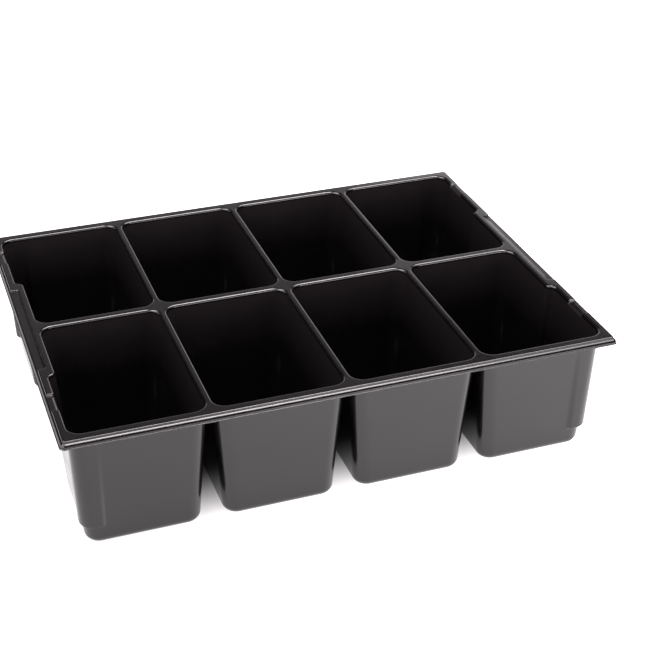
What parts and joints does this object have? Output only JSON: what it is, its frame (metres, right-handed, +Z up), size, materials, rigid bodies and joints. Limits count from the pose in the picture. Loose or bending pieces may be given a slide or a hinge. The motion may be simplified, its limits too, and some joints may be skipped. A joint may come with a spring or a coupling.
{
  "type": "cell tray",
  "caption": "Deep black plastic growing tray: two rows of tapered cells hang from a raised deck with a turned-down rim and a grip ledge at each end.",
  "frame": {"origin": "centre of the tray's outline, on the plane its cells stand on", "axes": "+X along the long side, +Y to the back row, +Z up out of the cell mouths"},
  "size_m": [0.4, 0.308, 0.097],
  "materials": {
    "black_plastic": "satin black, formed sheet"
  },
  "bodies": {
    "root": {"cell_front_1": "black_plastic", "cell_front_2": "black_plastic", "cell_front_3": "black_plastic", "cell_front_4": "black_plastic", "cell_back_1": "black_plastic", "cell_back_2": "black_plastic", "cell_back_3": "black_plastic", "cell_back_4": "black_plastic", "deck": "black_plastic", "rim": "black_plastic", "grip_ledge_left": "black_plastic", "grip_ledge_right": "black_plastic"}
  },
  "joints": []
}
